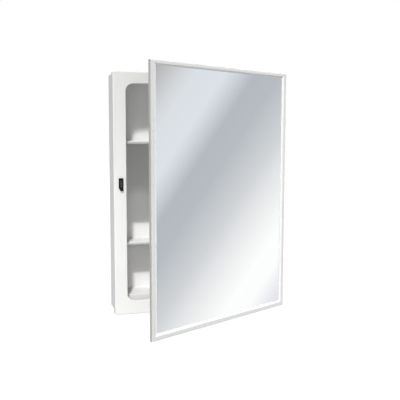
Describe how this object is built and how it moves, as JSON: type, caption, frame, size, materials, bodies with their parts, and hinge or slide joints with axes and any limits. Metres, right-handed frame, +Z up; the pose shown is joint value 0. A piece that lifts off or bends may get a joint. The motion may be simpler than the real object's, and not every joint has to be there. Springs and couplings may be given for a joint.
{
  "type": "medicine cabinet",
  "caption": "Wall-hung sheet-steel medicine cabinet with inner shelves, a magnetic catch and a framed mirror door on a continuous side hinge.",
  "frame": {"origin": "centre of the back panel's rear face, the face that lies on the wall", "axes": "+X to the right along the front, +Y into the wall, +Z up; the mirror faces -Y when the door is shut"},
  "size_m": [0.4108, 0.2813, 0.5584],
  "materials": {
    "white_enamel": "baked white enamel, satin, very fine orange peel",
    "frame_enamel": "baked white enamel on a folded frame, slightly glossier",
    "mirror_silver": "second-surface silvered float glass",
    "backing_board": "plain grey-brown board",
    "zinc_plate": "bright zinc plate, drawn grain",
    "black_plastic": "moulded black plastic, fine texture",
    "dark_iron": "dark phosphated steel and ferrite",
    "bumper_rubber": "soft pale rubber"
  },
  "bodies": {
    "cabinet": {"front_pan": "white_enamel", "body_wrapper": "white_enamel", "back_panel": "white_enamel", "upper_shelf": "white_enamel", "upper_shelf_bracket_left": "white_enamel", "upper_shelf_bracket_right": "white_enamel", "middle_shelf": "white_enamel", "middle_shelf_bracket_left": "white_enamel", "middle_shelf_bracket_right": "white_enamel", "lower_shelf": "white_enamel", "lower_shelf_bracket_left": "white_enamel", "lower_shelf_bracket_right": "white_enamel", "catch_housing": "black_plastic", "catch_pole_left": "dark_iron", "catch_pole_right": "dark_iron", "catch_magnet": "dark_iron", "hinge_leaf_body": "white_enamel", "hinge_pin": "zinc_plate"},
    "door": {"hinge_leaf_door": "white_enamel", "door_rail_left": "frame_enamel", "door_rail_top": "frame_enamel", "door_rail_right": "frame_enamel", "door_rail_bottom": "frame_enamel", "mirror_glass": "mirror_silver", "mirror_backing_pad": "backing_board", "door_back_panel": "white_enamel", "corner_key_top_left": "zinc_plate", "corner_key_top_right": "zinc_plate", "corner_key_bottom_left": "zinc_plate", "corner_key_bottom_right": "zinc_plate", "strike_plate": "zinc_plate", "door_bumper_top": "bumper_rubber", "door_bumper_bottom": "bumper_rubber"}
  },
  "joints": [
    {"name": "door_hinge", "type": "hinge", "parent": "cabinet", "child": "door", "pos_m": [0.203, -0.0905, 0], "axis": [0, 0, 1], "range_deg": [-26.5, 83.5]}
  ]
}
